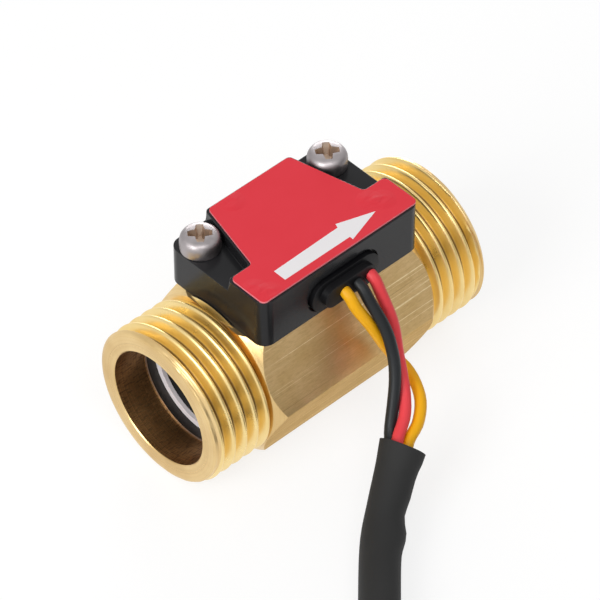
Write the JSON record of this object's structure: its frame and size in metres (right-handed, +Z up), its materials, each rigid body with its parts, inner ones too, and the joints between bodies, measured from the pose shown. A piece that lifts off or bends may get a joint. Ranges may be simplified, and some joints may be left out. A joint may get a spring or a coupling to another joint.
{
  "type": "inline flow meter with a magnet turbine and a Hall sensor",
  "caption": "Brass inline flow meter with male pipe threads, a magnet turbine in its bore, a black sensor housing on top and a coiled lead with a plug.",
  "frame": {"origin": "centre of the hexagon's bottom flat, under the middle of the body's length", "axes": "+X along the pipe in the direction of flow, +Y away from the cable outlet, +Z up through the sensor housing"},
  "size_m": [0.0742, 0.1204, 0.0279],
  "materials": {
    "brass": "turned, satin",
    "black_plastic": "satin",
    "white_plastic": "satin",
    "bush_plastic": "matte",
    "steel": "polished",
    "magnet": "satin",
    "potting_resin": "glossy",
    "board_green": "glossy",
    "chip_black": "matte",
    "ceramic_tan": "matte",
    "label_red": "satin",
    "rubber_black": "matte",
    "wire_yellow": "satin",
    "wire_black": "satin",
    "wire_red": "satin",
    "sleeve_black": "matte",
    "plug_white": "satin",
    "contact_tin": "polished"
  },
  "bodies": {
    "meter": {"body": "brass", "retaining_ring": "white_plastic", "inlet_guide": "black_plastic", "outlet_support": "black_plastic", "bush_inlet": "bush_plastic", "bush_outlet": "bush_plastic", "housing": "black_plastic", "potting": "potting_resin", "circuit_board": "board_green", "hall_sensor": "chip_black", "resistor": "chip_black", "capacitor": "ceramic_tan", "label": "label_red", "screw_inlet": "steel", "screw_outlet": "steel", "grommet": "rubber_black", "wire_yellow": "wire_yellow", "wire_black": "wire_black", "wire_red": "wire_red", "sleeve": "sleeve_black", "sleeve_coil": "sleeve_black", "wire_end_yellow": "wire_yellow", "wire_end_black": "wire_black", "wire_end_red": "wire_red", "plug_housing": "plug_white", "plug_contact_1": "contact_tin", "plug_contact_2": "contact_tin", "plug_contact_3": "contact_tin"},
    "turbine": {"rotor": "white_plastic", "rotor_shaft": "steel", "magnet_1": "magnet", "magnet_2": "magnet"}
  },
  "joints": [
    {"name": "rotor_spin", "type": "hinge", "parent": "meter", "child": "turbine", "pos_m": [-0.00137, 0, 0.0105], "axis": [1, 0, 0], "continuous": true}
  ]
}
